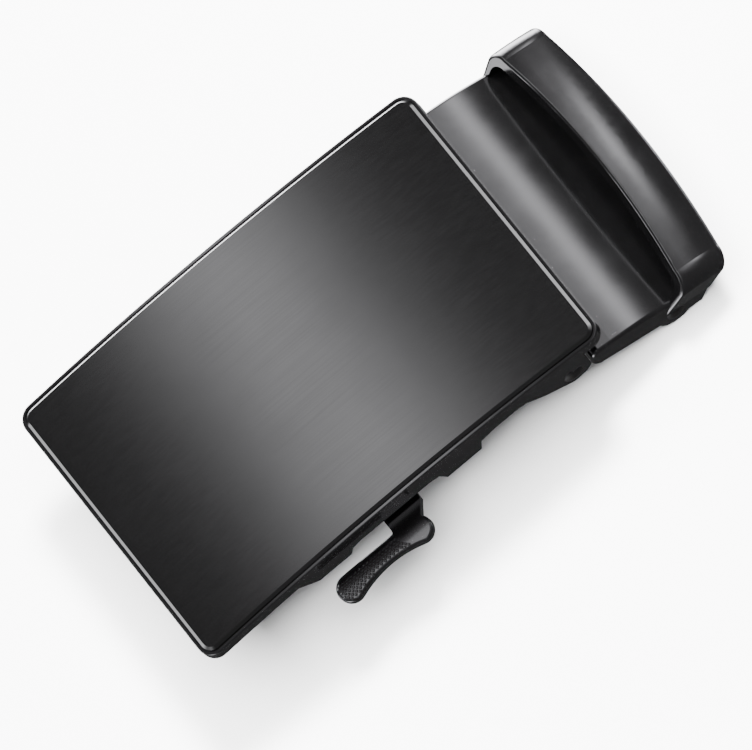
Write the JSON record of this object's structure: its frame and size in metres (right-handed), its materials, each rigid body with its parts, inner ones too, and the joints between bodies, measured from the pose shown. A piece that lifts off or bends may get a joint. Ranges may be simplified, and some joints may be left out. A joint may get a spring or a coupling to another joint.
{
  "type": "automatic ratchet belt buckle",
  "caption": "Black automatic belt buckle: an arched polished face over a ratchet housing with a side release lever, hinged to a toothed strap clamp with a keeper loop.",
  "frame": {"origin": "middle of the face's length and width, on the plane that the back of the strap slides on in the channel", "axes": "+X along the strap from its entry towards the tail clamp, +Y across the strap away from the release lever, +Z out of the polished face"},
  "size_m": [0.0833, 0.0459, 0.02],
  "materials": {
    "casting": "black plated zinc casting, polished",
    "mirror_black": "mirror-polished black plate",
    "adhesive": "cured adhesive film",
    "pins": "blackened steel",
    "steel": "hardened steel",
    "spring_steel": "spring wire"
  },
  "bodies": {
    "frame": {"face_tray": "casting", "face_inlay": "mirror_black", "inlay_adhesive": "adhesive", "housing_frame": "casting", "housing_rivets": "pins", "lever_pin": "pins", "lever_spring": "spring_steel", "hinge_pin": "pins"},
    "lever": {"release_lever": "casting", "pawl_plate": "steel", "pawl_rivets": "pins"},
    "clamp": {"clamp_body": "casting", "jaw_pin": "pins"},
    "jaw": {"clamp_jaw": "casting"}
  },
  "joints": [
    {"name": "clamp_hinge", "type": "hinge", "parent": "frame", "child": "clamp", "pos_m": [0.0256, 0, -0.003], "axis": [0, 1, 0], "range_deg": [-14, 50]},
    {"name": "jaw_hinge", "type": "hinge", "parent": "clamp", "child": "jaw", "pos_m": [0.04006, 0, -0.0099], "axis": [0, -1, 0], "range_deg": [0, 80]},
    {"name": "lever_pivot", "type": "hinge", "parent": "frame", "child": "lever", "pos_m": [0, -0.0162, -0.0016], "axis": [-1, 0, 0], "range_deg": [0, 8], "stiffness_Nm_per_rad": 0.03, "springref_deg": -20.05, "deforming": ["lever_spring"]}
  ]
}
